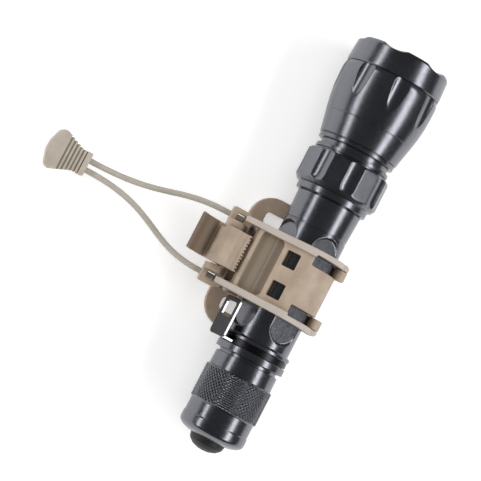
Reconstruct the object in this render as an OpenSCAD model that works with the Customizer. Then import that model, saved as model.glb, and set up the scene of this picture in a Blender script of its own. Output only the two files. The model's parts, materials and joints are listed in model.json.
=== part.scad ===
// Tactical flashlight clamped in a moulded webbing holder.
// The origin is on the flat back of the holder's plate, under the light's axis and at the middle of the
// clamp's width. The light lies along X with its head at +X, the clamp hinge is on the -Y side, and the
// latch and pull cord are on the +Y side. The modules draw each part about the light's axis as if that
// were the X axis, and placed() then lifts the part so that the plate's back is at Z = 0.

/* [Barrel] */
// Outer diameter of the barrel tube
barrel_d = 25.4; // [25:0.1:25.6]
// Bore of the battery tube
bore_d = 19.2; // [19:0.1:19.6]
// Front shoulder of the barrel, measured from the middle of the holder
barrel_front = 33.0; // [31:0.5:34]
// Rear shoulder of the barrel
barrel_rear = -34.0; // [-36:0.5:-33.5]
// Depth of the milled flats
flat_depth = 1.6; // [1:0.1:1.7]
// Width of the milled flats
flat_w = 12.4; // [10:0.1:12.6]
// Width of the clip groove in the grip ring
clip_groove_w = 2.6; // [2.4:0.1:2.8]

/* [Head] */
// Largest diameter of the bell
bell_d = 39.3; // [39:0.1:39.6]
// Front face of the bezel
bezel_front = 95.4; // [95:0.1:96]
// Joint between the bell and the bezel
bezel_rear = 85.4; // [85:0.1:85.6]
// Rear end of the bell
bell_rear = 54.5; // [54.3:0.1:54.7]
// Number of flutes on the bell and the collar
flutes = 8; // [6:1:9]
// Number of scallops in the front edge of the bezel
scallops = 6; // [4:1:8]
// Focal length of the reflector's parabola
focal = 2.6; // [2.5:0.05:2.7]

/* [Tail] */
// Rear face of the tail cap
cap_rear = -66.9; // [-68:0.1:-66.5]
// Diameter over the knurl
knurl_d = 27.4; // [27:0.1:27.6]
// Travel of the switch button
press = 1.5; // [1:0.1:1.6]

/* [Holder] */
// Width of the clamp along the light
clamp_w = 29.2; // [28.8:0.1:30]
// Wall of the cradle and the saddle
wall = 2.2; // [2:0.1:2.4]
// Height of the light's axis above the rest plane
axis_h = 20; // [20:0.1:21]
// Thickness of the base plate
plate_t = 2.5; // [2:0.1:2.8]
// Length of the base plate along the light
plate_x = 54.4; // [54:0.1:56]
// Width of the base plate across the light
plate_y = 38.8; // [38:0.1:40]
// Width of each webbing slot
slot_w = 5.2; // [5:0.1:5.4]
// Length of each webbing slot
slot_l = 26.5; // [26:0.1:27]
// Radial clearance of the running fits
fit = 0.05; // [0.03:0.01:0.08]

/* [Cord] */
// Diameter of the elastic cord
cord_d = 2.3; // [2:0.1:2.4]
// Distance from the light's axis to the tip of the pull tab
tab_tip = 104; // [100:0.5:110]

/* [Hidden] */

$fn = 96;
big = 200;
eps = 0.01;

// Light
barrel_r = barrel_d / 2;
bore_r = bore_d / 2;
flute_phase = 4;
flute_r = 6.4;
scallop_phase = 30;
scallop_r = 12;
scallop_depth = 1.1;
tail_thread_r = 11.8;
neck_thread_r = 12.0;
head_thread_r = 13.6;
bezel_thread_r = 17.3;
barrel_nose = barrel_front + 10;
barrel_end = barrel_rear - 9;
grip_front = -27;
clip_x = -29.7;
flat_x = [-17.3, 13.9];
flat_phase = -20;
cell_r = 9.2;
cell_rear = -29;
cell_front = cell_rear + 65;
pill_x = 44;
board_x = 58.4;
reflector_x = 60.4;
flange_x = 87.2;
cap_front = barrel_rear - 1.2;
cap_wall = 4.3;
boot_x = cap_rear + cap_wall;
switch_rear = boot_x + 3.3;
switch_front = -47;
boot_tip = -71.7;

// Holder
rest_z = -axis_h;
plate_top = rest_z + plate_t;
plate_cy = 2.4;
cradle_r = barrel_r + fit;
shell_r = cradle_r + wall;
half_w = clamp_w / 2;
hinge = [-15.2, 4.0];
hinge_eye_r = 2.6;
pin_r = 1.0;
latch = [28, 1.6];
latch_eye_r = 2.7;
rail_w = 3.0;
rail_r = shell_r + 1.3;
panel_hw = half_w - rail_w;
slot_x = 15.8;
rail_hinge_hw = half_w + 0.4;
rail_latch_hw = half_w - 0.8;
tongue_hw = panel_hw - 3.4;
slot_hw = panel_hw + 1.0;
knuckle_x = [tongue_hw + 0.2, slot_hw - 0.2];
recess_hw = panel_hw - 0.2;
lever_hw = 7.4;
post_in = lever_hw + 0.4;
post_out = 10.5;
catch_y = 21.6;
lip_y = catch_y + 1.0;
lug_y = [25.8, 31.6];
lug_x = [post_out - eps, 15.6];
lug_z = [-4.6, -1.8];
cord_r = cord_d / 2;
cord_x = 12.2;
cord_z = lug_z[0] - cord_r - 0.1;
wall_y = [22.6, 24.6];
tab_l = 16.6;
plug_l = 2.2;
tab_x = 3.0;
tab_z = -11.5;
tab_rear = tab_tip - tab_l;
tab_back = tab_rear + plug_l + 0.1;
leg_gap = 1.9;

// ---------- helpers ----------

// Turned part: pairs of [position along X, radius]
module turned(profile) {
    rotate([0, 90, 0]) rotate_extrude() polygon([for (p = profile) [p[1], p[0]]]);
}

// Round bar or disc along X from a to b
module bar(a, b, r) {
    translate([a, 0, 0]) rotate([0, 90, 0]) cylinder(h = b - a, r = r);
}

// Round bar along X at a place across the light, given as [Y, Z]
module bar_at(c, a, b, r) {
    translate([0, c[0], c[1]]) bar(a, b, r);
}

// Ring of round section about X
module o_ring(x, r, thick) {
    translate([x, 0, 0]) rotate([0, 90, 0]) rotate_extrude() translate([r, 0]) circle(r = thick, $fn = 32);
}

// Extrudes a drawing made in Y and Z along X from a to b
module across(a, b) {
    translate([a, 0, 0]) rotate([90, 0, 90]) linear_extrude(b - a) children();
}

// Extrudes a drawing made in X and Y along Z from a to b
module flat(a, b) {
    translate([0, 0, a]) linear_extrude(b - a) children();
}

// Copies its children at n equal turns about X
module around(n, phase = 0) {
    for (k = [0:n - 1]) rotate([-phase - k * 360 / n, 0, 0]) children();
}

// Copies its children on the +X and the -X side
module both_sides() {
    children();
    mirror([1, 0, 0]) children();
}

function unit(v) = v / norm(v);

// Arc that rounds the corner p between its neighbours a and b
function corner(p, a, b, r, n) =
    let (u = unit(a - p), v = unit(b - p), half = acos(u * v) / 2, c = p + unit(u + v) * r / sin(half),
         s = p + u * r / tan(half) - c, e = p + v * r / tan(half) - c,
         a0 = atan2(s[1], s[0]), d = atan2(e[1], e[0]) - a0,
         sweep = d > 180 ? d - 360 : d < -180 ? d + 360 : d)
    [for (k = [0:n]) c + r * [cos(a0 + sweep * k / n), sin(a0 + sweep * k / n)]];

// Outline through points [x, y, corner radius]
function rounded(pts, n = 6) =
    let (m = len(pts), at = function (i) [pts[(i + m) % m][0], pts[(i + m) % m][1]])
    [for (i = [0:m - 1])
        each (pts[i][2] == 0 ? [at(i)] : corner(at(i), at(i - 1), at(i + 1), pts[i][2], n))];

// Outline of a box with rounded corners
function box_outline(x0, x1, y0, y1, r) = rounded([[x0, y0, r], [x1, y0, r], [x1, y1, r], [x0, y1, r]]);

// Direction across the light at an angle from +Z towards +Y, as [Y, Z]
function dir(a) = [sin(a), cos(a)];

// Wedge of the Y-Z plane between two such angles, no more than 170 degrees apart
module wedge(a, b) {
    polygon([[0, 0], big * dir(a), big * dir((a + b) / 2), big * dir(b)]);
}

// Part of a ring about the light's axis, between two radii and two angles
module arc_band(r0, r1, a, b) {
    intersection() {
        difference() {
            circle(r = r1);
            circle(r = r0);
        }
        wedge(a, b);
    }
}

// Tube of round section along a path of points, closed at both ends
module sweep_path(path, r, sides = 12) {
    n = len(path);
    function tangent(i) = unit(path[min(i + 1, n - 1)] - path[max(i - 1, 0)]);
    function side_at(i) = let (t = tangent(i)) unit(cross(t, abs(t[2]) > 0.9 ? [1, 0, 0] : [0, 0, 1]));
    points = [for (i = [0:n - 1], k = [0:sides - 1])
        let (u = side_at(i), v = cross(u, tangent(i)), a = k * 360 / sides)
        path[i] + r * (cos(a) * u + sin(a) * v)];
    faces = concat(
        [[for (k = [sides - 1:-1:0]) k]],
        [for (i = [0:n - 2], k = [0:sides - 1])
            let (a = i * sides, j = (k + 1) % sides)
            each [[a + k, a + sides + j, a + sides + k], [a + k, a + j, a + sides + j]]],
        [[for (k = [0:sides - 1]) (n - 1) * sides + k]]);
    polyhedron(points, faces, convexity = 6);
}

// Points of a coil about X from a to b, narrowing from radius r0 to r1
function coil(a, b, r0, r1, turns, step = 20) =
    let (n = turns * 360 / step)
    [for (i = [0:n]) let (t = i / n, r = r0 + (r1 - r0) * t, w = i * step)
        [a + (b - a) * t, r * sin(w), r * cos(w)]];

// Point of a cubic curve with four control points
function bezier(p, t) =
    pow(1 - t, 3) * p[0] + 3 * pow(1 - t, 2) * t * p[1] + 3 * (1 - t) * t * t * p[2] + t * t * t * p[3];

// ---------- light ----------

module barrel() color("#1c1d20") difference() {
    turned([[barrel_nose, 0], [barrel_nose, neck_thread_r], [barrel_front, neck_thread_r],
        [barrel_front, 13.1], [22, barrel_r - 0.1], [21.8, barrel_r - 0.3], [21.4, barrel_r - 0.3],
        [21.2, barrel_r], [grip_front + 0.6, barrel_r], [grip_front, 13.9],
        [clip_x + clip_groove_w / 2, 13.9], [clip_x + clip_groove_w / 2, barrel_r],
        [clip_x - clip_groove_w / 2, barrel_r], [clip_x - clip_groove_w / 2, 13.9],
        [barrel_rear + 0.3, 13.9], [barrel_rear, 13.6], [barrel_rear, tail_thread_r],
        [barrel_end, tail_thread_r], [barrel_end, 0]]);
    bar(-big, big, bore_r);
    // Seat of the tail seal
    turned([[barrel_rear - 2.4, 10.5], [barrel_rear - 2.4, 13], [barrel_rear - 4, 13], [barrel_rear - 4, 10.5]]);
    // Four milled flats with round ends
    around(4, flat_phase) translate([0, 0, barrel_r - flat_depth]) {
        for (x = flat_x) translate([x, 0, 0]) cylinder(h = 5, r = flat_w / 2);
        translate([flat_x[0], -flat_w / 2, 0]) cube([flat_x[1] - flat_x[0], flat_w, 5]);
    }
}

module neck_collar() color("#222327") difference() {
    turned([[33.4, 14.4], [33.7, 14.55], [35.9, 14.55], [36.3, 15.4], [37.4, 16.6], [38.4, 16.95],
        [48.6, 16.95], [49.7, 16.4], [50, 15.6], [50, 14.2], [50.7, 14.2], [50.7, 15.05], [52.2, 15.05],
        [52.4, 14.8], [52.4, 13.9], [bell_rear, 13.9], [bell_rear, head_thread_r], [62, head_thread_r],
        [62, 10.6], [44, 10.6], [44, 12.1], [33.4, 12.1]]);
    // Flutes in line with those of the bell
    around(flutes, flute_phase) translate([40.2, 0, 15.8 + flute_r]) {
        bar(0, big, flute_r);
        sphere(r = flute_r);
    }
    // Flats between the flutes
    around(flutes, flute_phase + 180 / flutes) translate([36.4, -8, 16.4]) cube([13.9, 16, 5]);
    // Seat of the head seal
    turned([[55.4, 12.3], [55.4, 14], [57, 14], [57, 12.3]]);
}

module led_pill() color("#b9994e") turned([[pill_x, 9.5], [pill_x, 10.55], [board_x, 10.55], [board_x, 0],
    [54.9, 0], [54.9, 9.5]]);

module driver_board() color("#1f5c34") union() {
    bar(pill_x + 0.3, pill_x + 1.9, 9.4);
    for (y = [-4, 3]) translate([pill_x + 1.9 - eps, y - 1.5, -2.5]) cube([2, 3, 4.2]);
}

module led_board() color("#d9dadb") union() {
    bar(board_x, board_x + 1.6, 8.5);
    translate([board_x + 1.5, -1.75, -1.75]) cube([0.8, 3.5, 3.5]);
    translate([board_x + 2.2, 0, 0]) intersection() {
        sphere(r = 1.6);
        bar(0, 5, 5);
    }
}

module front_contact_spring() color("#c9a64c")
    sweep_path(coil(pill_x - 0.3, cell_front + 1.9, 5, 2.6, 4), 0.4, 8);

module battery_cell() color("#c9cacc") union() {
    bar(cell_rear, cell_front - 0.3, cell_r - 0.2);
    bar(cell_front - 0.4, cell_front + 1.3, 3.2);
}

module battery_wrap() color("#2f5f93") turned([[cell_rear + 0.2, cell_r - 0.2], [cell_rear + 0.2, cell_r],
    [cell_front, cell_r], [cell_front, 6.8], [cell_front - 0.3, 6.8], [cell_front - 0.3, cell_r - 0.2]]);

// Sprung band with a bridge and a windowed leaf that stands off the barrel
clip_in = barrel_r + fit;
clip_t = 0.8;
clip_a = 74;
clip_hw = 1.1;
leaf_r = 17.2;
leaf_x = [clip_x - clip_hw, -15.2];
window_x = [-23.2, -17.0];
module pocket_clip() color("#6d7075") rotate([-clip_a, 0, 0]) {
    difference() {
        bar(clip_x - clip_hw, clip_x + clip_hw, clip_in + clip_t);
        bar(-big, big, clip_in);
        // The band is open on the side away from the leaf
        translate([clip_x - 3, -8, -20]) cube([6, 16, 12]);
    }
    // Bridge from the band to the leaf
    translate([leaf_x[0], -4.8, clip_in + 0.3]) cube([clip_t, 9.6, leaf_r - clip_in + 0.2]);
    // Leaf with its window
    translate([0, 0, leaf_r]) linear_extrude(clip_t) difference() {
        polygon(box_outline(leaf_x[0], leaf_x[1], -5.6, 5.6, 1.6));
        polygon(box_outline(window_x[0], window_x[1], -3.6, 3.6, 1.0));
    }
}

module tail_o_ring() color("#151515") o_ring(barrel_rear - 3.2, 11.18, 0.65);
module head_o_ring() color("#151515") o_ring(56.2, 12.98, 0.65);

// Seal between the barrel and the collar
module collar_o_ring() color("#151515") o_ring(barrel_nose + 0.5, 11.35, 0.45);

// ---------- head ----------

module head_bell() color("#1c1d20") difference() {
    turned([[bell_rear, 13.7], [bell_rear, 15.4], [bell_rear + 0.2, 15.6], [56.0, 15.6], [56.1, 15.3],
        [56.3, 15.3], [56.5, 16.0], [61, 16.9], [65, 17.8], [65.1, 17.7], [65.3, 17.9], [70, 18.8],
        [75, 19.4], [80.3, bell_d / 2], [83.5, bell_d / 2], [bezel_rear - 0.4, 19.4], [bezel_rear, 19.0],
        [bezel_rear, bezel_thread_r + 0.1], [79, bezel_thread_r + 0.1], [79, 16.8], [64, 13.7]]);
    // Teardrop flutes that open at the bezel and run out to the rear
    around(flutes, flute_phase) translate([bezel_rear, 0, 18.3 + flute_r]) rotate([0, 3.2, 0])
        bar(-22, 6, flute_r);
}

module bezel_ring() color("#17181a") difference() {
    turned([[79.3, 16.3], [79.3, bezel_thread_r], [bezel_rear + 0.05, bezel_thread_r],
        [bezel_rear + 0.05, 18.9], [bezel_rear + 0.5, 19.3], [87, 19.35], [90, 19.2], [94.2, 18.95],
        [bezel_front - 0.3, 18.6], [bezel_front, 18.1], [bezel_front, 15.9], [bezel_front - 0.4, 15.4],
        [92.7, 15.1], [92.7, 16.7], [87, 16.7], [87, 16.3]]);
    // Broad scallops in the front edge
    around(scallops, scallop_phase) translate([bezel_front + scallop_r - scallop_depth, 0, 10])
        cylinder(h = 12, r = scallop_r);
}

module lens() color([0.75, 0.85, 0.9, 0.4]) bar(90.15, 92.65, 16.55);
module lens_o_ring() color("#151515") o_ring(89.45, 15.85, 0.65);

function bowl_r(x) = sqrt(4 * focal * (x - reflector_x + 1.4));
module reflector() color("#dcdedf") turned(concat(
    [for (k = [0:14]) let (x = 61 + (88.6 - 61) * k / 14) [x, min(bowl_r(x), 15.7)]],
    [[88.6, 16.5], [flange_x, 16.5], [flange_x, 16.15], [79.5, 16.0]],
    [for (k = [12:-1:0]) let (x = 61 + 18 * k / 12) [x, min(bowl_r(x) + 1.1, 16.0)]]));

// ---------- tail ----------

module tail_cap() color("#1c1d20") turned([[cap_front, tail_thread_r + 0.1], [cap_front, 12.6],
    [cap_front - 0.3, 12.85], [-41.0, 12.85], [-41.3, 13.5], [-41.6, knurl_d / 2], [-54.4, knurl_d / 2],
    [-54.8, 13.5], [-55.2, 13.0], [-60.4, 13.0], [-61, 13.3], [-64.0, 13.3], [-64.9, 12.9],
    [-65.8, 11.9], [-66.5, 10.4], [cap_rear, 8.6], [cap_rear, 7.2], [boot_x, 7.2], [boot_x, 10],
    [-43.6, 10], [-43.6, tail_thread_r + 0.1]]);

module switch_body() color("#26262a") difference() {
    turned([[switch_rear, 0], [switch_rear, 9.9], [switch_front, 9.9], [switch_front, 0]]);
    bar(-big, switch_rear + 5.5, 4.1);
}

module switch_retainer() color("#9a9ca0") difference() {
    bar(switch_front, switch_front + 2.2, 9.95);
    bar(-big, big, 5.2);
    // Two holes for a spanner
    for (s = [-1, 1]) bar_at([s * 7.5, 0], -big, big, 0.8);
}

module tail_spring() color("#c9a64c") sweep_path(coil(switch_front + 0.45, cell_rear - 0.5, 4, 4, 6), 0.42, 8);

module switch_boot() color("#121212") turned([[boot_x, 9.0], [boot_x, 7.1], [cap_rear - 0.9, 7.1],
    [cap_rear - 1.9, 6.7], [boot_tip + 1.9, 5.6], [boot_tip + 0.8, 3.9], [boot_tip + 0.2, 2],
    [boot_tip, 0], [boot_tip + 1.1, 0], [boot_tip + 1.4, 2.2], [boot_tip + 2.6, 4.4],
    [cap_rear - 0.9, 5.9], [boot_x + 1.3, 5.9], [boot_x + 1.3, 9.0]]);

module switch_button() color("#3a3a3d") union() {
    bar(boot_tip + 3, cap_rear + 2, 3.9);
    bar(cap_rear + 1.9, switch_rear + 5.1 - press, 3.0);
}

// ---------- holder ----------

// Hooked base plate that the webbing threads through
hook_gap = 6.2;
module plate() flat(rest_z, plate_top) translate([0, plate_cy]) difference() {
    polygon(box_outline(-plate_x / 2, plate_x / 2, -plate_y / 2, plate_y / 2, 9.4));
    for (s = [-1, 1]) scale([s, s]) {
        polygon(box_outline(slot_x, slot_x + slot_w, -slot_l / 2, slot_l / 2, 1.6));
        // Slanted mouth that parts the two hooks
        translate([18, -1.8]) polygon([[0, -hook_gap / 2], [20, 10 - hook_gap / 2],
            [20, 10 + hook_gap / 2], [0, hook_gap / 2]]);
    }
}

// Half-round trough that the light lies in, with its stem on the plate
module cradle() difference() {
    union() {
        across(-half_w, half_w) arc_band(0, shell_r, 92, 180);
        across(-half_w, half_w) arc_band(0, shell_r, -180, -92);
        across(-half_w, half_w) polygon([[-11, plate_top - 0.1], [11.5, plate_top - 0.1], [9, -11], [-9, -11]]);
    }
    // The hinge side leaves room for the eyes of the saddle
    for (s = [0, 1]) mirror([s, 0, 0]) translate([panel_hw - 0.3, -big, -0.4]) cube([big, big, big]);
}

// Eyes of the clamp hinge, between the tongue and the rails
module hinge_knuckles() both_sides() across(knuckle_x[0], knuckle_x[1]) union() {
    translate(hinge) circle(r = hinge_eye_r);
    polygon([[hinge[0] - hinge_eye_r, hinge[1]], [hinge[0] - hinge_eye_r, 1], [-13.6, -6], [-12, -6],
        [-12.6, hinge[1]]]);
}

// Bracket beyond the cradle: floor, end wall, two latch posts and two cord lugs
module latch_bracket() union() {
    across(-half_w, half_w) polygon(rounded([[10.4, -9.2, 0], [wall_y[1], -10.4, 0.8],
        [wall_y[1], -8.4, 0.3], [11.6, -7.2, 0]]));
    across(-half_w, half_w) polygon([[wall_y[0], -9.8], [wall_y[1], -9.8], [wall_y[1], -1.9],
        [wall_y[0], -1.9]]);
    both_sides() {
        across(post_in, post_out) union() {
            translate(latch) circle(r = latch_eye_r);
            polygon(rounded([[wall_y[0], -8.8, 0.5], [wall_y[1] + 1.5, -8.8, 0.5], [lug_y[1], lug_z[0], 0.5],
                [latch[0] + latch_eye_r, latch[1], 0], [latch[0] - latch_eye_r, latch[1], 0],
                [wall_y[0], -3, 0.5]]));
        }
        // Loop that the cord is threaded round
        flat(lug_z[0], lug_z[1]) difference() {
            polygon(box_outline(lug_x[0] - 1, lug_x[1], lug_y[0] - 1.6, lug_y[1], 0.8));
            polygon(box_outline(lug_x[0] + 0.4, lug_x[1] - 2, lug_y[0] - 0.2, lug_y[1] - 2.2, 0.5));
        }
    }
}

module holder_base() color("#9a8a70") difference() {
    union() {
        plate();
        cradle();
        hinge_knuckles();
        latch_bracket();
    }
    // Clamp bore, hinge bore and latch bore
    bar(-big, big, cradle_r);
    bar_at(hinge, -big, big, pin_r);
    bar_at(latch, -big, big, pin_r);
    // Cord holes through the end wall
    for (s = [-1, 1]) translate([s * cord_x, wall_y[0] - 0.5, cord_z]) rotate([-90, 0, 0])
        cylinder(h = 3, r = cord_r + 0.15);
    // Drain hole in the floor
    translate([0, 18, -20]) cylinder(h = 20, r = 1.4);
}

module hinge_pin() color("#8f9194") both_sides() bar_at(hinge, knuckle_x[0] + 0.1, half_w - 0.6, pin_r);
module latch_pin() color("#8f9194") bar_at(latch, -post_out + 0.1, post_out - 0.1, pin_r);

// Hinged saddle: two rails, a shell with a tongue, two square holes, a recess and a catch bar.
// Side view of a rail with its hinge eye
module rail_side() difference() {
    union() {
        arc_band(0, rail_r, -76, 46);
        translate(hinge) circle(r = hinge_eye_r);
        polygon(rounded([[4, 12.8, 0], [8.4, 14.0, 2], [12, 12.7, 4], [26.6, 9.0, 1.2], [28.0, 7.4, 1.2],
            [27.4, 5.6, 0.8], [13.2, 4.4, 0], [9, 6, 0]]));
    }
    circle(r = cradle_r);
}

// Plan of the rail on the +X side, which flares towards the hinge
module rail_plan() polygon(rounded([[panel_hw, -17.9, 0], [rail_hinge_hw, -17.9, 2.4],
    [rail_latch_hw, 28.6, 1.6], [panel_hw, 28.6, 0]]));

// Side view of the flange that runs from the shell to the catch bar
module flange_side() difference() {
    union() {
        arc_band(cradle_r, shell_r, -74, 50);
        polygon([[7, 13.0], [10.4, 12.2], [catch_y - 0.3, 9.28], [catch_y, 8.9], [catch_y, 4.9],
            [19.6, 5.2], [14.8, 6.6], [10, 8]]);
    }
    circle(r = cradle_r);
}

module clamp_saddle() color("#a39277") difference() {
    union() {
        both_sides() intersection() {
            across(panel_hw, rail_hinge_hw) rail_side();
            flat(-20, 20) rail_plan();
        }
        across(-panel_hw - eps, panel_hw + eps) flange_side();
    }
    both_sides() bar_at(hinge, panel_hw - 1, big, pin_r + fit);
    // Slots that free the tongue from the rails
    both_sides() across(tongue_hw, slot_hw) wedge(-100, -3);
    // Square holes
    both_sides() translate([6.25, 0, 0]) rotate([-27, 0, 0]) translate([-3.1, -2.7, 10]) cube([6.2, 5.4, 8]);
    // Recess with two floors and a ridge between them, from the square holes to the rib
    translate([0, 11.2, 12.0]) rotate([-14.9, 0, 0]) {
        flat(-1.7, 4) polygon(box_outline(-recess_hw, recess_hw, 0, 9.2, 1.8));
        flat(-1.95, 4) polygon(box_outline(-recess_hw, recess_hw, 0.4, 2.8, 1.0));
        flat(-2.2, 4) polygon(box_outline(-recess_hw, recess_hw, 3.5, 9.1, 0.8));
    }
}

// Over-centre latch: hooked cap, hub on the latch pin and a thumb fin
module cap_side() polygon(rounded([[lip_y, 5.6, 0.3], [lip_y, 8.7, 0.6], [24.0, 8.9, 0.5],
    [25.2, 8.2, 1.2], [28.0, 9.9, 1.5], [30.8, 9.6, 3], [34.0, 5.8, 2.5], [34.6, 3.6, 0.4],
    [33.0, 3.4, 0.4], [31.4, 5.4, 1.5], [29, 7.2, 2], [26.4, 6.9, 1], [24.6, 6.8, 0.4], [24.3, 5.6, 0.3]]));
module hub_side() union() {
    translate(latch) circle(r = latch_eye_r);
    polygon([[latch[0] - 1.8, latch[1]], [latch[0] + 1.8, latch[1]], [30.4, 8.4], [26.8, 8.2]]);
}
module fin_side() polygon(rounded([[33.4, 0.6, 0.3], [33.6, 2.0, 0.4], [36.6, 3.1, 2.5], [40.0, 5.2, 4],
    [42.6, 8.9, 0.5], [43.8, 8.2, 0.5], [41.4, 4.2, 4], [37.6, 1.6, 3]]));
module arm_side() polygon(rounded([[30.6, 5.0, 0], [32.0, 3.4, 0.8], [33.8, 2.4, 0.8], [36.6, 2.5, 0],
    [36.6, 1.0, 0], [33.4, 0.5, 1], [30.2, 0.6, 0.5], [29.6, 3.0, 0]]));
module latch_lever() color("#a39277") difference() {
    union() {
        across(-lever_hw, lever_hw) cap_side();
        across(-lever_hw, lever_hw) hub_side();
        across(-lever_hw, lever_hw) fin_side();
        both_sides() across(lever_hw - 2.2, lever_hw) arm_side();
    }
    bar_at(latch, -big, big, pin_r + fit);
    // Notch in one corner of the cap
    translate([lever_hw - 1.5, 33.0, 3.2]) cube([2, 2.5, 6]);
    // Serrations of the lip
    for (k = [0:10]) translate([-lever_hw + 0.75 + k * 1.28, lip_y - 0.1, 7.6]) cube([0.6, 1.1, 1.6]);
}

// ---------- cord and pull tab ----------

// Path of one leg from its knot in the bracket to the tab, on the side x0
function leg(x0, x1) =
    let (a = [x0, wall_y[0] - 2, cord_z], b = [x0, lug_y[1] + 1, cord_z], c = [x1, tab_rear - 2, tab_z])
    concat([a], [for (k = [0:20]) bezier([b, b + [0, 22, 0], c - [0, 30, 0], c], k / 20)]);

// Round end of the cord inside the tab
function bend(x, y, r) = [for (a = [0:15:180]) [x + r * cos(a), y + r * sin(a), tab_z]];

module bungee_cord() color("#a98f5c") union() {
    sweep_path(concat(leg(cord_x, tab_x + leg_gap), bend(tab_x, tab_rear + 8, leg_gap),
        [for (k = [21:-1:0]) leg(-cord_x, tab_x - leg_gap)[k]]), cord_r, 16);
    // Knots that stop the cord behind the end wall
    for (s = [-1, 1]) translate([s * cord_x, wall_y[0] - 2.3, cord_z + 0.5])
        sphere(r = 2.1, $fn = 24);
}

// Outlines of the pull tab, moved inwards by t
module tab_side(t) polygon(rounded([[tab_back, tab_z - 3.2 + t, 0.8], [tab_back, tab_z + 3.2 - t, 0.8],
    [tab_rear + 10, tab_z + 2.9 - t, 8], [tab_tip, tab_z + 2.2 - t, 1.2], [tab_tip, tab_z - 2.2 + t, 1.2],
    [tab_rear + 10, tab_z - 2.9 + t, 8]]));
module tab_plan(t) polygon(rounded([[-4.4 + t, tab_back, 0.4], [4.4 - t, tab_back, 0.4],
    [4.8 - t, tab_back + 2.5, 6], [8.8 - t, tab_tip - 2.2, 2.5], [0, tab_tip + 0.5, 9],
    [-8.8 + t, tab_tip - 2.2, 2.5], [-4.8 + t, tab_back + 2.5, 6]]));
module tab_body(t) intersection() {
    across(-10, 15) tab_side(t);
    translate([tab_x, 0, 0]) flat(tab_z - 5, tab_z + 5) tab_plan(t);
}
module pull_tab() color("#a89a82") difference() {
    tab_body(0);
    // Grooves that run round the tab
    for (k = [0:4]) difference() {
        translate([tab_x - 10, tab_back + 1.2 + 1.5 * k, tab_z - 5]) cube([20, 0.7, 10]);
        tab_body(0.6);
    }
    // Pocket for the end of the cord
    translate([tab_x - 3.3, tab_rear, tab_z - cord_r - 0.3]) cube([6.6, 12.4, cord_d + 0.6]);
}

module tab_plug() color("#8d7f69") difference() {
    translate([tab_x - 4.6, tab_rear, tab_z - 3.3]) cube([9.2, plug_l, 6.6]);
    for (s = [-1, 1]) translate([tab_x + s * leg_gap, tab_rear - 1, tab_z]) rotate([-90, 0, 0])
        cylinder(h = 6, r = cord_r + 0.15);
}

// ---------- drawing ----------

module placed() translate([0, 0, axis_h]) children();

placed() barrel();
placed() neck_collar();
placed() led_pill();
placed() driver_board();
placed() led_board();
placed() front_contact_spring();
placed() battery_cell();
placed() battery_wrap();
placed() pocket_clip();
placed() tail_o_ring();
placed() head_o_ring();
placed() collar_o_ring();
placed() head_bell();
placed() bezel_ring();
placed() lens();
placed() lens_o_ring();
placed() reflector();
placed() tail_cap();
placed() switch_body();
placed() switch_retainer();
placed() tail_spring();
placed() switch_boot();
placed() switch_button();
placed() holder_base();
placed() hinge_pin();
placed() latch_pin();
placed() clamp_saddle();
placed() latch_lever();
placed() bungee_cord();
placed() pull_tab();
placed() tab_plug();
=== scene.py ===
"""A tactical flashlight clamped in a moulded webbing holder, with an elastic cord and a pull tab.

The light lies along X with its head at +X, and its axis is AXIS_Z above the frame's origin. Angles
round the light go from +Z towards +Y. Shapes are worked out in millimetres about the light's axis, and
new_mesh puts them at its height.
"""
import json
import math

import bpy
import numpy as np
from mathutils import Matrix, Vector


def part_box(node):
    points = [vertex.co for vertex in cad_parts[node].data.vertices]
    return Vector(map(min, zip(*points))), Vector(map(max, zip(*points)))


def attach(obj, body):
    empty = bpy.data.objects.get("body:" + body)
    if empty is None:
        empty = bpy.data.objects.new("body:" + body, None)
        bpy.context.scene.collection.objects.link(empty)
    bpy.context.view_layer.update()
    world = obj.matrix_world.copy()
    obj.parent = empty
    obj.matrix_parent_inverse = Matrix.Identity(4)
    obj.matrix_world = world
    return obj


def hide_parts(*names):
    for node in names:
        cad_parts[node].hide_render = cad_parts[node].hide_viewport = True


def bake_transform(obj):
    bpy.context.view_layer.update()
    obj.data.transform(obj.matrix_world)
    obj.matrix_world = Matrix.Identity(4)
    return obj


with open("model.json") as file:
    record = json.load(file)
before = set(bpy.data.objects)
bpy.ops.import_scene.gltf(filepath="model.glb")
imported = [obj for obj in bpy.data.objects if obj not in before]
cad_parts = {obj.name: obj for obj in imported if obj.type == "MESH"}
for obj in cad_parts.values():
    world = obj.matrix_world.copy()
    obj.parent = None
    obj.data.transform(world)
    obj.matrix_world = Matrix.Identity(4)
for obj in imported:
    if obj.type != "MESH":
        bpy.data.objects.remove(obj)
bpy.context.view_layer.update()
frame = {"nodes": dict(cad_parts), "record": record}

MM = 0.001
JOINTS = {joint["name"]: joint for joint in frame["record"]["behaviour"]["joints"]}
AXIS_Z = JOINTS["light_turn"]["pos_m"][2] / MM
FLUTES = 8
FLUTE_PHASE = math.radians(4)
FLUTE_R = 6.4
SCALLOPS = 6
SCALLOP_PHASE = math.radians(30)
FLATS = 4
FLAT_PHASE = math.radians(-20)
PITCH = 1.25
# Width of the saddle's rails at the hinge, where they are widest
RAIL_W = 3.4


def span(node):
    """A round node's ends along X and its largest radius, in millimetres."""
    low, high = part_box(node)
    return low[0] / MM, high[0] / MM, (high[2] - low[2]) / 2 / MM


# ---------- mesh building ----------

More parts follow.
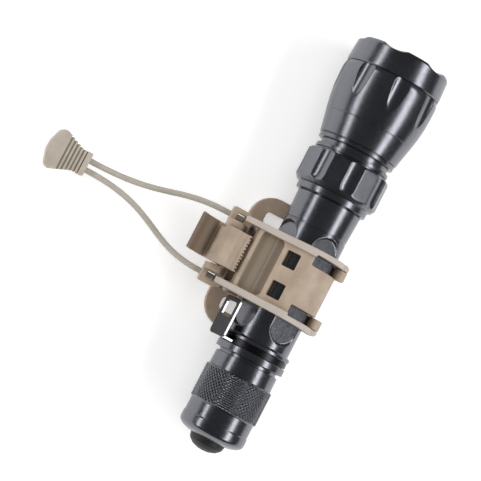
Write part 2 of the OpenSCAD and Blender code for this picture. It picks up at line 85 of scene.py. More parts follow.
def rounded(points, steps=4):
    """A closed outline through points (x, y, corner radius), its corners rounded by arcs."""
    out = []
    count = len(points)
    for i, (x, y, radius) in enumerate(points):
        p = np.array([x, y], float)
        if radius <= 0:
            out.append(p)
            continue
        before = np.array(points[i - 1][:2], float) - p
        after = np.array(points[(i + 1) % count][:2], float) - p
        u = before / np.linalg.norm(before)
        v = after / np.linalg.norm(after)
        half = math.acos(max(-1, min(1, float(u @ v)))) / 2
        reach = min(radius / math.tan(half), 0.49 * np.linalg.norm(before), 0.49 * np.linalg.norm(after))
        radius = reach * math.tan(half)
        centre = p + (u + v) / np.linalg.norm(u + v) * radius / math.sin(half)
        start, end = p + u * reach - centre, p + v * reach - centre
        angle = math.atan2(start[1], start[0])
        turn = (math.atan2(end[1], end[0]) - angle + math.pi) % (2 * math.pi) - math.pi
        for k in range(steps + 1):
            a = angle + turn * k / steps
            out.append(centre + radius * np.array([math.cos(a), math.sin(a)]))
    return np.array(out)


def densified(outline, step, where=None):
    """The outline with its long segments split, everywhere or only where the test holds."""
    out = []
    for a, b in zip(outline, np.roll(outline, -1, axis=0)):
        wanted = where is None or where((a + b) / 2)
        pieces = max(1, int(math.ceil(np.linalg.norm(b - a) / step))) if wanted else 1
        out += [a + (b - a) * k / pieces for k in range(pieces)]
    return np.array(out)


def new_mesh(name, points, quads):
    """A mesh object from points in millimetres about the light's axis and faces of four corners."""
    mesh = bpy.data.meshes.new(name)
    points = np.asarray(points) + [0, 0, AXIS_Z]
    mesh.vertices.add(len(points))
    mesh.vertices.foreach_set("co", (points * MM).astype(np.float32).ravel())
    quads = np.asarray(quads, dtype=np.int32)
    mesh.loops.add(quads.size)
    mesh.loops.foreach_set("vertex_index", quads.ravel())
    mesh.polygons.add(len(quads))
    mesh.polygons.foreach_set("loop_start", np.arange(0, quads.size, 4, dtype=np.int32))
    mesh.polygons.foreach_set("loop_total", np.full(len(quads), 4, dtype=np.int32))
    mesh.update(calc_edges=True)
    mesh.validate()
    ob = bpy.data.objects.new(name, mesh)
    bpy.context.collection.objects.link(ob)
    mesh.polygons.foreach_set("use_smooth", np.full(len(mesh.polygons), True))
    return ob


def grid_quads(rows, columns, wrap_rows, wrap_columns):
    """Faces between neighbours of a grid of points stored row by row."""
    i = np.arange(rows if wrap_rows else rows - 1)
    j = np.arange(columns if wrap_columns else columns - 1)
    i, j = np.meshgrid(i, j, indexing="ij")
    i2, j2 = (i + 1) % rows, (j + 1) % columns
    corners = [i * columns + j, i2 * columns + j, i2 * columns + j2, i * columns + j2]
    return np.stack(corners, -1).reshape(-1, 4)


def merged(ob):
    """Joins points that lie together, and turns every face outwards."""
    import bmesh
    bm = bmesh.new()
    bm.from_mesh(ob.data)
    bmesh.ops.remove_doubles(bm, verts=bm.verts, dist=1e-6)
    bmesh.ops.dissolve_degenerate(bm, edges=bm.edges, dist=1e-8)
    bmesh.ops.recalc_face_normals(bm, faces=bm.faces)
    if bm.calc_volume(signed=True) < 0:
        bmesh.ops.reverse_faces(bm, faces=bm.faces)
    bm.to_mesh(ob.data)
    bm.free()
    return ob


def turned(name, outline, columns=192, relief=None, shift=None, step=None, where=None):
    """A part turned about X from a closed outline of (x, radius).

    relief(x, angle, radius) gives the new radius of each point, and shift(x, angle, radius) the new x.
    """
    outline = np.asarray(outline)
    if step:
        outline = densified(outline, step, where)
    angle = np.arange(columns) * 2 * math.pi / columns
    x, r = np.broadcast_arrays(outline[:, :1], np.zeros(columns))[0].copy(), outline[:, 1:2] + 0 * angle
    a = np.broadcast_to(angle, r.shape)
    if relief:
        r = np.where(r > 0, relief(x, a, r), r)
    if shift:
        x = shift(x, a, r)
    points = np.stack([x, r * np.sin(a), r * np.cos(a)], -1).reshape(-1, 3)
    ob = new_mesh(name, points, grid_quads(len(outline), columns, True, True))
    return merged(ob)


def soft_min(a, b, width):
    """The smaller of two values, with the corner between them rounded."""
    h = np.clip(0.5 + 0.5 * (b - a) / width, 0, 1)
    return b * (1 - h) + a * h - width * h * (1 - h)


def wrapped(angle, count, phase):
    """The angle from the nearest of a number of equal places round the light."""
    pitch = 2 * math.pi / count
    return (angle - phase + pitch / 2) % pitch - pitch / 2


def cutter(angle, distance, radius):
    """Where a round cutter, lying along the light at a distance from its axis, meets each direction."""
    inside = radius ** 2 - (distance * np.sin(angle)) ** 2
    reach = distance * np.cos(angle) - np.sqrt(np.maximum(inside, 0))
    return np.where(inside > 0, reach, distance * np.cos(angle) + 50 * np.sqrt(np.maximum(-inside, 0)))


def thread(x, angle, radius, start, end, depth=0.45):
    """A right-hand screw thread cut into a round land between two places along X."""
    turn = x / PITCH + angle / (2 * math.pi)
    ridge = 1 - np.abs(2 * (turn % 1) - 1)
    cut = depth * (1 - np.clip(ridge * 1.5 - 0.1, 0, 1))
    fade = np.clip((x - start) / 0.6, 0, 1) * np.clip((end - x) / 0.6, 0, 1)
    return radius - cut * fade


def put(ob, body, material, node):
    """Gives a piece its material and its body, if it rides on one, and hides the CAD node it stands for."""
    ob.data.materials.append(material)
    if body:
        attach(ob, body)
    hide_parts(node)
    return ob


# ---------- materials ----------

class Nodes:
    """Short calls that add shader nodes to a new material."""

    def __init__(self, name):
        self.material = bpy.data.materials.new(name)
        self.material.use_nodes = True
        self.tree = self.material.node_tree
        self.shader = self.tree.nodes["Principled BSDF"]
        self.place = self.add("ShaderNodeTexCoord").outputs["Object"]

    def add(self, kind, inputs=None, **settings):
        node = self.tree.nodes.new(kind)
        for key, value in settings.items():
            setattr(node, key, value)
        for key, value in (inputs or {}).items():
            self.plug(node.inputs[key], value)
        return node

    def plug(self, socket, value):
        if isinstance(value, bpy.types.NodeSocket):
            self.tree.links.new(value, socket)
        else:
            socket.default_value = value

    def set(self, **inputs):
        for key, value in inputs.items():
            self.plug(self.shader.inputs[key.replace("_", " ")], value)

    def noise(self, size_mm, detail=4.0, roughness=0.55, stretch=(1, 1, 1)):
        place = self.add("ShaderNodeMapping", {"Vector": self.place, "Scale": stretch}).outputs[0]
        return self.add("ShaderNodeTexNoise", {"Vector": place, "Scale": 1 / (size_mm * MM), "Detail": detail,
                                               "Roughness": roughness}).outputs["Fac"]

    def remap(self, value, low, high, to_low, to_high):
        return self.add("ShaderNodeMapRange", {"Value": value, "From Min": low, "From Max": high,
                                               "To Min": to_low, "To Max": to_high}).outputs[0]

    def mix(self, factor, a, b):
        node = self.add("ShaderNodeMix", data_type="RGBA")
        self.plug(node.inputs[0], factor)
        self.plug(node.inputs[6], a)
        self.plug(node.inputs[7], b)
        return node.outputs[2]

    def along(self, x, y, z):
        """How far a point of the piece lies along a direction from the frame's origin, in millimetres."""
        return self.add("ShaderNodeVectorMath", {0: self.place, 1: (x / MM, y / MM, z / MM)},
                        operation="DOT_PRODUCT").outputs["Value"]

    def inside(self, *bounds):
        """A mask that is one where every value lies between its two bounds, with soft edges of 0.3 mm."""
        mask = 1.0
        for value, low, high in bounds:
            for edge, before, after in ((low, 0, 1), (high, 1, 0)):
                step = self.remap(value, edge - 0.15, edge + 0.15, before, after)
                mask = self.add("ShaderNodeMath", {0: mask, 1: step}, operation="MULTIPLY").outputs[0]
        return mask

    def bump(self, height, strength, distance_mm):
        return self.add("ShaderNodeBump", {"Height": height, "Strength": strength,
                                           "Distance": distance_mm * MM}).outputs[0]


def rgb(r, g, b):
    return (r, g, b, 1.0)


def anodised():
    n = Nodes("black_anodised")
    worn = n.remap(n.add("ShaderNodeNewGeometry").outputs["Pointiness"], 0.53, 0.60, 0, 0.5)
    patch = n.remap(n.noise(9, 3), 0.35, 0.7, 0, 1)
    base = n.mix(patch, rgb(0.006, 0.0065, 0.008), rgb(0.011, 0.0115, 0.014))
    n.set(Base_Color=n.mix(worn, base, rgb(0.09, 0.095, 0.105)),
          Roughness=n.remap(n.noise(1.5, 5), 0.3, 0.7, 0.20, 0.27), IOR=1.8, Specular_IOR_Level=1.0,
          Specular_Tint=rgb(0.88, 0.90, 1.0), Normal=n.bump(n.noise(0.12, 3, 0.7), 0.18, 0.02))
    return n.material


def moulded(name, dark, light, roughness=0.5, painted_shade=None, painted_highlight=None):
    """Moulded plastic, mottled between two colours.

    One argument is a function that gives a mask of painted shade, paired with the shade's colour; the last
    gives a mask of painted highlight, where the colour turns paler.
    """
    n = Nodes(name)
    cloud = n.remap(n.noise(7, 4), 0.35, 0.68, 0, 1)
    speck = n.remap(n.noise(0.5, 2), 0.62, 0.75, 0, 0.25)
    edge = n.remap(n.add("ShaderNodeNewGeometry").outputs["Pointiness"], 0.52, 0.60, 0, 0.35)
    # Painted shade: creases and recesses turn darker brown where the occlusion mask finds little open space
    open_sky = n.add("ShaderNodeAmbientOcclusion", {"Distance": 5 * MM}, samples=8).outputs["AO"]
    painted_crease_shade = n.remap(open_sky, 0.35, 0.92, 0.7, 0)
    base = n.mix(speck, n.mix(cloud, rgb(*dark), rgb(*light)), rgb(*(c * 0.75 for c in dark)))
    # Painted highlight: a paler colour where its mask is
    if painted_highlight:
        base = n.mix(painted_highlight(n), base, rgb(0.52, 0.465, 0.42))
    # Painted shade: a darker colour where its mask is
    if painted_shade:
        base = n.mix(painted_shade[0](n), base, rgb(*painted_shade[1]))
    base = n.mix(painted_crease_shade, base, rgb(dark[0] * 0.5, dark[1] * 0.45, dark[2] * 0.38))
    n.set(Base_Color=n.mix(edge, base, rgb(*(min(1, c * 1.35) for c in light))),
          Roughness=n.remap(n.noise(2, 4), 0.3, 0.7, roughness - 0.06, roughness + 0.08),
          Normal=n.bump(n.noise(0.22, 4, 0.65), 0.35, 0.04))
    return n.material


def recess_shade(n):
    """The floor of the saddle's recess, which slopes down towards the catch bar, where painted shade darkens
    the plastic.
    """
    slope, length = math.radians(14.9), 9.3
    shallow, deep = 1.3, 2.6
    c, s = math.cos(slope), math.sin(slope)
    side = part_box("clamp_saddle")[1][0] / MM - RAIL_W - 0.1
    # The recess starts at this y and z, at its upper end
    y, z = 11.2, 12.0 + AXIS_Z
    start, top = y * c - z * s, y * s + z * c
    return n.inside((n.along(1, 0, 0), -side, side), (n.along(0, c, -s), start, start + length),
                    (n.along(0, s, c), top - deep, top - shallow))


def rails(n):
    """The two rails, outside the saddle's panel, where a painted highlight makes the plastic paler."""
    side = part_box("clamp_saddle")[1][0] / MM - RAIL_W
    return n.remap(n.inside((n.along(1, 0, 0), -side, side)), 0, 1, 0.8, 0)


def fin_shade(n):
    """The latch's thumb fin, beyond its cap, which painted shade darkens."""
    return n.remap(n.along(0, 1, 0), 34.7, 35.2, 0, 0.9)


def rubber():
    n = Nodes("black_rubber")
    dust = n.remap(n.noise(1.2, 5), 0.5, 0.8, 0, 0.4)
    n.set(Base_Color=n.mix(dust, rgb(0.012, 0.012, 0.013), rgb(0.035, 0.034, 0.033)), Roughness=0.55,
          Normal=n.bump(n.noise(0.2, 3), 0.3, 0.03))
    return n.material


def metal(name, colour, roughness, scratch=(1, 12, 12), tint=0.8):
    n = Nodes(name)
    streak = n.remap(n.noise(0.9, 5, 0.6, scratch), 0.3, 0.7, 0, 1)
    n.set(Base_Color=n.mix(streak, rgb(*(c * tint for c in colour)), rgb(*colour)), Metallic=1.0,
          Roughness=n.remap(streak, 0, 1, roughness * 0.75, roughness * 1.25),
          Normal=n.bump(streak, 0.15, 0.01))
    return n.material


def plain(name, colour, roughness, grain_mm=0.4, coat=0.0):
    n = Nodes(name)
    patch = n.remap(n.noise(grain_mm * 8, 3), 0.3, 0.7, 0, 1)
    n.set(Base_Color=n.mix(patch, rgb(*(c * 0.85 for c in colour)), rgb(*colour)), Roughness=roughness,
          Coat_Weight=coat, Normal=n.bump(n.noise(grain_mm, 3), 0.2, 0.02))
    return n.material


def spring_steel():
    """Blackened on the broad faces, with bright cut edges."""
    n = Nodes("spring_steel")
    normal = n.add("ShaderNodeVectorTransform", {0: n.add("ShaderNodeNewGeometry").outputs["True Normal"]},
                   vector_type="NORMAL", convert_from="WORLD", convert_to="OBJECT").outputs[0]
    out = n.add("ShaderNodeVectorMath", {0: n.place, 1: (0, 0, AXIS_Z * MM)}, operation="SUBTRACT").outputs[0]
    out = n.add("ShaderNodeVectorMath", {0: out, 1: (0, 1, 1)}, operation="MULTIPLY").outputs[0]
    out = n.add("ShaderNodeVectorMath", {0: out}, operation="NORMALIZE").outputs[0]
    facing = n.add("ShaderNodeVectorMath", {0: out, 1: normal}, operation="DOT_PRODUCT").outputs["Value"]
    size = n.add("ShaderNodeMath", {0: facing}, operation="ABSOLUTE").outputs[0]
    broad = n.remap(size, 0.72, 0.86, 0, 1)
    n.set(Base_Color=n.mix(broad, rgb(0.58, 0.58, 0.60), rgb(0.035, 0.035, 0.04)), Metallic=1.0,
          Roughness=n.remap(n.noise(1, 4), 0.3, 0.7, 0.28, 0.38), Normal=n.bump(n.noise(0.3, 3), 0.1, 0.01))
    return n.material


def cord_fabric():
    n = Nodes("cord_fabric")
    yarn = n.remap(n.noise(0.35, 4, 0.6), 0.3, 0.7, 0, 1)
    # Painted shade: the braid turns dark brown where it dips between its strands
    painted_crease_shade = n.remap(n.add("ShaderNodeNewGeometry").outputs["Pointiness"], 0.42, 0.52, 0, 1)
    bright = n.mix(yarn, rgb(0.40, 0.365, 0.305), rgb(0.58, 0.54, 0.47))
    n.set(Base_Color=n.mix(painted_crease_shade, rgb(0.13, 0.10, 0.07), bright), Roughness=0.8, Sheen_Weight=0.25,
          Sheen_Roughness=0.4, Normal=n.bump(n.noise(0.08, 3, 0.6, (1, 6, 6)), 0.5, 0.03))
    return n.material


def clear_glass():
    n = Nodes("clear_glass")
    faint = n.remap(n.noise(6, 2), 0.3, 0.7, 0.0, 0.02)
    n.set(Base_Color=rgb(0.93, 0.97, 1.0), Transmission_Weight=1.0, Roughness=faint, IOR=1.5,
          Coat_Weight=0.3, Coat_Tint=rgb(0.6, 0.7, 1.0))
    return n.material


def mirror():
    n = Nodes("mirror_coat")
    n.set(Base_Color=rgb(0.9, 0.91, 0.93), Metallic=1.0, Roughness=n.remap(n.noise(1, 2), 0.3, 0.7, 0.08, 0.14),
          Normal=n.bump(n.noise(0.9, 2, 0.4), 0.35, 0.06))
    return n.material


ANODISED = anodised()
TAN_COLOURS = (0.37, 0.285, 0.213), (0.475, 0.372, 0.284)
TAN = moulded("holder_plastic", *TAN_COLOURS)
# Painted shade darkens the saddle's recess floor, and a painted highlight makes its rails paler
SADDLE_TAN = moulded("saddle_plastic", *TAN_COLOURS, painted_shade=(recess_shade, (0.235, 0.19, 0.14)), painted_highlight=rails)
# Painted shade darkens the latch's thumb fin
LATCH_TAN = moulded("latch_plastic", *TAN_COLOURS, painted_shade=(fin_shade, (0.15, 0.105, 0.072)))
TAB_TAN = moulded("tab_plastic", (0.42, 0.37, 0.305), (0.51, 0.455, 0.385), 0.55)
RUBBER = rubber()
SPRING_STEEL = spring_steel()
PIN_STEEL = metal("pin_steel", (0.6, 0.6, 0.61), 0.25)
BRASS = metal("brass", (0.72, 0.52, 0.24), 0.28)
GOLD = metal("gold_plated", (0.86, 0.65, 0.30), 0.22)
CELL_CAN = metal("cell_can", (0.66, 0.66, 0.68), 0.3)
CELL_WRAP = plain("cell_wrap", (0.04, 0.13, 0.36), 0.3, 1.0, 0.4)
BOARD_GREEN = plain("board_green", (0.02, 0.12, 0.05), 0.35, 0.3, 0.3)
BOARD_WHITE = plain("board_white", (0.80, 0.81, 0.80), 0.35, 0.3, 0.2)
BLACK_PLASTIC = plain("black_plastic", (0.03, 0.03, 0.033), 0.45, 0.2)
CORD = cord_fabric()
GLASS = clear_glass()
MIRROR = mirror()


# ---------- light ----------

def barrel():
    """Battery tube with four rows of milled flats, the clip's groove and a thread at each end."""
    rear, nose, _ = span("barrel")
    bore, tube, ring = 9.6, 12.7, 13.9
    flat_r, flat_middle, flat_half, flat_end = tube - 1.6, -1.7, 21.8, 6.2
    clip_x, groove_half = -29.7, 1.3
    outline = rounded([
        (nose, bore, 0.2), (nose, 12.0, 0.3), (33.0, 12.0, 0.1), (33.0, 13.1, 0.3), (22, tube - 0.1, 8),
        (21.8, tube - 0.3, 0.1), (21.4, tube - 0.3, 0.1), (21.2, tube, 0.1), (-26.4, tube, 0.5),
        (-27.0, ring, 0.5), (clip_x + groove_half, ring, 0.35), (clip_x + groove_half, tube, 0.15),
        (clip_x - groove_half, tube, 0.15), (clip_x - groove_half, ring, 0.35), (-33.8, ring, 0.4),
        (-34.0, 11.8, 0.1), (-36.4, 11.8, 0.1), (-36.4, 10.5, 0.1), (-38.0, 10.5, 0.1),
        (-38.0, 11.8, 0.1), (rear, 11.8, 0.3), (rear, bore, 0.2)])

    def relief(x, angle, radius):
        outer = radius > 11
        turn = wrapped(angle, FLATS, FLAT_PHASE)
        across = flat_r * np.tan(turn)
        end = np.maximum(np.abs(x - flat_middle) - (flat_half - flat_end), 0)
        # Outside the flat's plan, which has half-round ends, the cutting plane rises steeply
        gap = np.hypot(across, end) - flat_end
        plane = flat_r / np.cos(turn) + np.clip(gap, 0, None) * 8
        cut = soft_min(radius, plane, 0.12)
        radius = np.where(outer & (x > -26.6) & (x < 21.2), cut, radius)
        for start, stop in ((33.8, nose), (rear, -38.4)):
            on = outer & (x > start) & (x < stop)
            radius = np.where(on, thread(x, angle, radius, start, stop), radius)
        return radius

    ob = turned("barrel_tube", outline, 360, relief, step=0.32, where=lambda p: p[1] > 11)
    return put(ob, "light", ANODISED, "barrel")


def neck_collar():
    """Fluted ring with flats between its flutes, and the neck with the bell's thread."""
    rear, front, _ = span("neck_collar")
    flat_r, flute_floor, flute_end, thread_x = 16.4, 15.8, 40.2, 57.2
    outline = rounded([
        (rear, 12.1, 0.2), (rear, 14.4, 0.3), (35.9, 14.55, 0.3), (36.3, 15.6, 0.4), (38.2, 16.95, 1.2),
        (48.9, 16.95, 1.0), (50, 15.6, 0.3), (50, 14.2, 0.1), (50.7, 14.2, 0.1), (50.7, 15.05, 0.25),
        (52.3, 15.05, 0.25), (52.4, 13.9, 0.1), (54.5, 13.9, 0.1), (54.5, 13.6, 0.1), (front, 13.6, 0.3),
        (front, 10.6, 0.2), (44, 10.6, 0.2), (44, 12.1, 0.2)])

    def relief(x, angle, radius):
        body = (radius > 15.2) & (x > 36.0) & (x < 50.2)
        flat = flat_r / np.cos(wrapped(angle, FLUTES, FLUTE_PHASE + math.pi / FLUTES))
        size = np.sqrt(FLUTE_R ** 2 - np.clip(flute_end - x, 0, FLUTE_R - 0.01) ** 2)
        groove = cutter(wrapped(angle, FLUTES, FLUTE_PHASE), flute_floor + FLUTE_R, size)
        cut = soft_min(soft_min(radius, flat, 0.15), groove, 0.15)
        radius = np.where(body, cut, radius)
        on = (radius > 13) & (x > thread_x)
        return np.where(on, thread(x, angle, radius, thread_x, front), radius)

    ob = turned("collar_ring", outline, 480, relief, step=0.25, where=lambda p: p[1] > 13)
    return put(ob, "light", ANODISED, "neck_collar")


def head_bell():
    """Bell with flutes that a slightly tilted round cutter leaves at its front."""
    rear, front, big = span("head_bell")
    flute_floor, flute_l, tilt = 18.3, 21, math.radians(3.2)
    outline = rounded([
        (rear, 13.7, 0.2), (rear, 15.6, 0.3), (55.9, 15.6, 0.2), (56.05, 15.3, 0.1), (56.3, 15.3, 0.1),
        (56.5, 16.0, 0.2), (61, 16.9, 6), (65, 17.8, 0.3), (65.12, 17.65, 0.1), (65.3, 17.9, 0.2),
        (70, 18.8, 12), (75, 19.4, 20), (80.3, big, 12), (83.5, big, 8), (front, 19.0, 0.5),
        (front, 17.4, 0.1), (79, 17.4, 0.1), (79, 16.8, 0.1), (64, 13.7, 0.2)])

    def relief(x, angle, radius):
        outer = radius > 15.8
        back = front - x
        distance = flute_floor + FLUTE_R + back * math.tan(tilt)
        groove = cutter(wrapped(angle, FLUTES, FLUTE_PHASE), distance, FLUTE_R)
        on = outer & (back < flute_l) & (radius > 17.8)
        return np.where(on, soft_min(radius, groove, 0.12), radius)

    ob = turned("head_bell_shell", outline, 560, relief, step=0.3, where=lambda p: p[1] > 15.3)
    return put(ob, "head", ANODISED, "head_bell")


def bezel_ring():
    """Threaded front ring with broad scallops in its edge."""
    rear, front, _ = span("bezel_ring")
    rim_r, scallop_r, scallop_reach, thread_x = 18.5, 12, 10.9, 85.2
    outline = rounded([
        (rear, 16.3, 0.2), (rear, 17.3, 0.3), (85.45, 17.3, 0.1), (85.45, 18.9, 0.25), (85.9, 19.3, 0.3),
        (87, 19.35, 1), (90, 19.2, 6), (94.4, 18.95, 0.8), (front, 18.4, 0.6), (front, 16.0, 0.5),
        (front - 0.6, 15.3, 0.3), (92.7, 15.1, 0.2), (92.7, 16.7, 0.1), (87, 16.7, 0.1), (87, 16.3, 0.1)])

    def shift(x, angle, radius):
        near = np.clip(np.abs(wrapped(angle, SCALLOPS, SCALLOP_PHASE) * rim_r), 0, scallop_r - 1)
        dip = -soft_min(scallop_reach - np.sqrt(scallop_r ** 2 - near ** 2), 0 * near, 0.3)
        lip = np.clip((x - (front - 2.6)) / 2.4, 0, 1) ** 2
        return x - dip * lip * (radius > 15.2)

    def relief(x, angle, radius):
        on = (radius > 16.9) & (x < thread_x)
        return np.where(on, thread(x, angle, radius, rear, thread_x, 0.4), radius)

    ob = turned("bezel", outline, 480, relief, shift, step=0.3, where=lambda p: p[1] > 15.2)
    return put(ob, "head", ANODISED, "bezel_ring")


def lens():
    """Flat round glass."""
    rear, front, radius = span("lens")
    outline = rounded([(rear, 0, 0), (front, 0, 0), (front, radius, 0.3), (rear, radius, 0.3)])
    return put(turned("lens_glass", outline, 160), "head", GLASS, "lens")


def reflector():
    """Parabolic bowl with a faint orange-peel surface."""
    rear, front, rim = span("reflector")
    focal, vertex, mouth, back_l = 2.6, 59.0, 15.7, 18

    def bowl(x):
        return min(math.sqrt(4 * focal * (x - vertex)), mouth)

    inner = [rear + (front - rear) * (k / 40) ** 1.4 for k in range(41)]
    inner = [(x, bowl(x), 0) for x in inner]
    outer = [rear + back_l * k / 12 for k in range(12, -1, -1)]
    outer = [(x, min(bowl(x) + 1.1, 16.0), 0) for x in outer]
    rim_points = [(front, rim, 0.2), (87.2, rim, 0.2), (87.2, 16.15, 0.1), (79.5, 16.0, 0)]
    outline = rounded(inner + rim_points + outer)

    def relief(x, angle, radius):
        peel = np.sin(angle * 37 + x * 2.9) * np.sin(x * 5.3 + 3 * np.sin(angle * 11))
        return radius + 0.02 * peel * (radius < 15.6)

    ob = turned("reflector_bowl", outline, 288, relief)
    return put(ob, "head_travel", MIRROR, "reflector")


def tail_cap():
    """Cap with a diamond knurl and a smooth skirt."""
    rear, front, big = span("tail_cap")
    knurl = (-54.4, -41.6)
    count, depth = 54, 0.6
    outline = rounded([
        (front, 11.9, 0.2), (front, 12.75, 0.3), (-41.0, 12.85, 0.1), (-41.3, 13.5, 0.2), (knurl[1], big, 0.2),
        (knurl[0], big, 0.2), (-54.8, 13.5, 0.2), (-55.2, 13.0, 0.2), (-60.4, 13.0, 0.5), (-61.0, 13.3, 0.5),
        (-64.6, 13.3, 2.5), (-66.0, 11.3, 2.0), (rear, 8.6, 0.5), (rear, 7.2, 0.3), (-62.6, 7.2, 0.15),
        (-62.6, 10, 0.2), (-43.6, 10, 0.2), (-43.6, 11.9, 0.2)])

    def relief(x, angle, radius):
        pitch = 2 * math.pi * big / count
        a = count * angle / (2 * math.pi) + x / pitch
        b = count * angle / (2 * math.pi) - x / pitch
        crest = np.minimum(1 - np.abs(2 * (a % 1) - 1), 1 - np.abs(2 * (b % 1) - 1))
        cut = depth * (1 - np.clip(crest * 1.15, 0, 1))
        fade = np.clip((x - knurl[0] + 0.3) / 0.5, 0, 1) * np.clip((knurl[1] + 0.3 - x) / 0.5, 0, 1)
        return np.where(radius > 13.35, radius - cut * fade, radius)

    ob = turned("tail_cap_shell", outline, 720, relief, step=0.17, where=lambda p: p[1] > 13.35)
    return put(ob, "tail", ANODISED, "tail_cap")


def switch_boot():
    """Rubber dome that curves between its clamped rim and the button."""
    tip, front, _ = span("switch_boot")
    ring_r, rim_x, dome_x = 4.9, -64.0, -69.0
    outline = rounded([
        (front, 9.0, 0.2), (front, 5.9, 0.3), (-67.8, 5.9, 1.5), (tip + 1.3, 2.4, 1.5), (tip + 1.1, 0, 0),
        (tip, 0, 0), (tip + 0.15, 2.2, 1.5), (tip + 1.0, 4.6, 2), (tip + 2.4, 6.4, 1.2), (-68.1, 6.9, 0.5),
        (-67.6, 6.95, 0.2), (-67.4, 7.1, 0.2), (-62.6, 7.1, 0.3), (-62.6, 9.0, 0.3)])

    def relief(x, angle, radius):
        ring = np.exp(-((radius - ring_r) / 0.22) ** 2) * (x < tip + 1.9)
        return radius + 0.10 * ring

    ob = turned("boot_dome", outline, 128, relief, step=0.3)
    put(ob, None, RUBBER, "switch_boot")
    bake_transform(ob)
    return ob


def finished_nodes():
    """The CAD nodes that keep their shape and take a finish."""
    finishes = {
        "led_pill": BRASS, "driver_board": BOARD_GREEN, "led_board": BOARD_WHITE, "front_contact_spring": GOLD,
        "tail_spring": GOLD, "battery_cell": CELL_CAN, "battery_wrap": CELL_WRAP, "tail_o_ring": RUBBER,
        "head_o_ring": RUBBER, "collar_o_ring": RUBBER, "lens_o_ring": RUBBER, "switch_body": BLACK_PLASTIC,
        "switch_button": BLACK_PLASTIC, "switch_retainer": PIN_STEEL, "hinge_pin": PIN_STEEL,
        "latch_pin": PIN_STEEL, "pocket_clip": SPRING_STEEL}
    for node, material in finishes.items():
        dress(node, material)


def dress(node, material):
    """Gives a CAD node one finish."""
    ob = frame["nodes"][node]
    for slot in ob.material_slots:
        slot.link = "OBJECT"
        slot.material = material
    return ob


def moulded_node(node, material, voxel_mm=0.22, rounds=4):
    """A CAD node with softened, moulded-looking edges."""
    ob = dress(node, material)
    remesh = ob.modifiers.new("skin", "REMESH")
    remesh.mode = "VOXEL"
    remesh.voxel_size = voxel_mm * MM
    remesh.use_smooth_shade = True
    smooth = ob.modifiers.new("soften", "SMOOTH")
    smooth.factor = 0.5
    smooth.iterations = rounds
    return ob


# ---------- cord ----------

def cord_path(step=0.14):
    """The cord's centre line: out from one knot, round inside the tab and back to the other knot."""
    tab_low, tab_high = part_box("tab_plug")
    lug_x, lug_y, base_z, knot_y = 12.2, 32.6, -5.85, 21.0
    # A stop knot behind the end wall, as steps from the place where the leg leaves it
    knot = [(-1.2, -4.8, 1.2), (0.2, -3.2, 0.5), (1.5, -1.9, 0.0), (1.3, -1.0, 1.6), (-0.6, -1.3, 2.0),
            (-1.6, -2.0, 0.5), (-0.9, -2.5, -1.2), (0.7, -1.4, -0.8), (0.2, 0.2, 0)]
    tab_x = (tab_low[0] + tab_high[0]) / 2 / MM
    tab_z = (tab_low[2] + tab_high[2]) / 2 / MM - AXIS_Z
    tab_rear = tab_low[1] / MM
    gap = 1.9

    def leg(side):
        b = np.array([side * lug_x, lug_y, base_z])
        c = np.array([tab_x + side * gap, tab_rear - 2, tab_z])
        pts = [np.array([side * (lug_x + x), knot_y + y, base_z + z]) for x, y, z in knot]
        p = [b, b + [0, 22, 0], c - [0, 30, 0], c]
        for t in np.linspace(0, 1, 80):
            u = 1 - t
            pts.append(u ** 3 * p[0] + 3 * u ** 2 * t * p[1] + 3 * u * t * t * p[2] + t ** 3 * p[3])
        return pts

    bend = [np.array([tab_x + gap * math.cos(a), tab_rear + 8 + gap * math.sin(a), tab_z])
            for a in np.linspace(0, math.pi, 24)]
    pts = np.array(leg(1) + bend + leg(-1)[::-1])
    along = np.concatenate([[0], np.cumsum(np.linalg.norm(np.diff(pts, axis=0), axis=1))])
    even = np.linspace(0, along[-1], int(along[-1] / step))
    path = np.stack([np.interp(even, along, pts[:, k]) for k in range(3)], -1)
    for _ in range(14):
        path[1:-1] = (path[:-2] + 2 * path[1:-1] + path[2:]) / 4
    return path, even


def bungee_cord():
    """Braided cord that stretches between the end wall and the pull tab."""
    cord_r, relief = 1.15, 0.13
    path, along = cord_path()
    tangent = np.gradient(path, axis=0)
    tangent /= np.linalg.norm(tangent, axis=1)[:, None]
    side = np.cross(tangent, [0, 0, 1.0])
    for i in range(1, len(side)):
        # Carried along the path, so that it never flips in the knots
        side[i] = side[i - 1] - tangent[i] * (side[i - 1] @ tangent[i])
    side /= np.linalg.norm(side, axis=1)[:, None]
    up = np.cross(side, tangent)
    columns, strands, lay = 48, 8, 2.1
    angle = np.arange(columns) * 2 * math.pi / columns
    a = strands * angle / (2 * math.pi) + along[:, None] / lay
    b = strands * angle / (2 * math.pi) - along[:, None] / lay
    over = (np.floor(a) + np.floor(b)) % 2 == 0
    crown = np.where(over, np.abs(np.sin(math.pi * a)), np.abs(np.sin(math.pi * b)))
    radius = cord_r - relief * (1 - crown ** 0.6)
    points = (path[:, None, :] + radius[..., None] * (np.cos(angle)[None, :, None] * side[:, None, :]
                                                      + np.sin(angle)[None, :, None] * up[:, None, :]))
    ob = new_mesh("elastic_cord", points.reshape(-1, 3), grid_quads(len(path), columns, False, True))
    close_ends(ob)
    put(ob, None, CORD, "bungee_cord")
    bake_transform(ob)
    return ob


def close_ends(ob):
    """Fills the open ends of a tube, and turns every face outwards."""
    import bmesh
    bm = bmesh.new()
    bm.from_mesh(ob.data)
    bmesh.ops.holes_fill(bm, edges=[e for e in bm.edges if e.is_boundary], sides=0)
    bmesh.ops.recalc_face_normals(bm, faces=bm.faces)
    bm.to_mesh(ob.data)
    bm.free()


# ---------- stage ----------

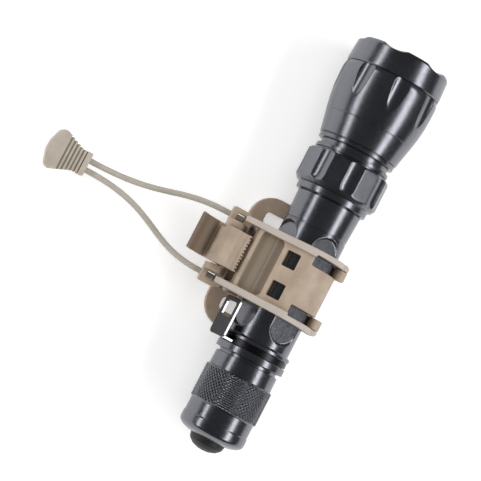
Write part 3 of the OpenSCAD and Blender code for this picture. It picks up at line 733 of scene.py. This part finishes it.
def stage():
    """Pale floor, soft studio light and a camera that looks down on the latch side."""
    low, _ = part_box("holder_base")
    bpy.ops.mesh.primitive_plane_add(size=6, location=(0, 0, low[2] - 0.0005))
    floor = bpy.context.active_object
    floor.name = "floor"
    n = Nodes("floor_paper")
    n.set(Base_Color=n.mix(n.noise(40, 2), rgb(0.80, 0.80, 0.80), rgb(0.83, 0.83, 0.83)), Roughness=0.9,
          Emission_Color=rgb(1, 1, 1), Emission_Strength=0.42)
    floor.data.materials.append(n.material)

    # The camera stands over the tail and leans towards the latch
    centre = Vector((0.012, 0.034, -0.004 + AXIS_Z * MM))
    eye = Vector((-0.049, 0.210, 0.770 + AXIS_Z * MM))
    out = (eye - centre).normalized()
    roll = math.radians(27.5)
    along = (Vector((1, 0, 0)) - out * out.x).normalized()
    across = out.cross(along)
    right = along * math.sin(roll) - across * math.cos(roll)
    up = along * math.cos(roll) + across * math.sin(roll)
    camera = bpy.data.objects.new("camera", bpy.data.cameras.new("camera"))
    bpy.context.collection.objects.link(camera)
    camera.data.lens = 158
    camera.data.clip_start = 0.01
    camera.data.shift_x, camera.data.shift_y = 0.033, -0.062
    camera.matrix_world = Matrix((right, up, out)).transposed().to_4x4()
    camera.location = eye
    bpy.context.scene.camera = camera

    def lamp(name, direction, size, watts, reach=0.6, tall=None, mirrored=True):
        light = bpy.data.objects.new(name, bpy.data.lights.new(name, "AREA"))
        light.data.shape = "RECTANGLE"
        light.data.size, light.data.size_y = size, tall or size
        light.data.energy = watts
        light.visible_glossy = mirrored
        back = direction.normalized()
        upright = (along - back * along.dot(back)).normalized()
        light.matrix_world = Matrix((upright.cross(back), upright, back)).transposed().to_4x4()
        light.location = centre + back * reach
        bpy.context.collection.objects.link(light)

    # Two strips that show as bright lines on the light, and an overhead cloth that doesn't show
    lamp("strip_left", out * 0.62 + across * 0.78, 0.11, 1.6, 0.6, 0.9)
    lamp("strip_right", out * 0.56 - across * 0.83, 0.15, 2.4, 0.6, 0.9)
    lamp("overhead", out + along * 0.25, 0.7, 2.2, 0.9, 0.7, False)

    # A pale room whose ceiling is dark in reflections
    world = bpy.data.worlds.new("studio")
    world.use_nodes = True
    tree = world.node_tree
    background = tree.nodes["Background"]
    background.inputs[0].default_value = rgb(1, 1, 1)
    rays = tree.nodes.new("ShaderNodeLightPath")
    strength = tree.nodes.new("ShaderNodeMapRange")
    strength.inputs["To Min"].default_value = 0.32
    strength.inputs["To Max"].default_value = 0.07
    tree.links.new(rays.outputs["Is Glossy Ray"], strength.inputs["Value"])
    tree.links.new(strength.outputs[0], background.inputs[1])
    bpy.context.scene.world = world
    bpy.context.scene.view_settings.view_transform = "Standard"


barrel()
neck_collar()
head_bell()
bezel_ring()
lens()
reflector()
tail_cap()
switch_boot()
finished_nodes()
for part, plastic in (("holder_base", TAN), ("clamp_saddle", SADDLE_TAN), ("latch_lever", LATCH_TAN)):
    moulded_node(part, plastic)
for part in ("pull_tab", "tab_plug"):
    moulded_node(part, TAB_TAN, 0.14, 2)
bungee_cord()
stage()
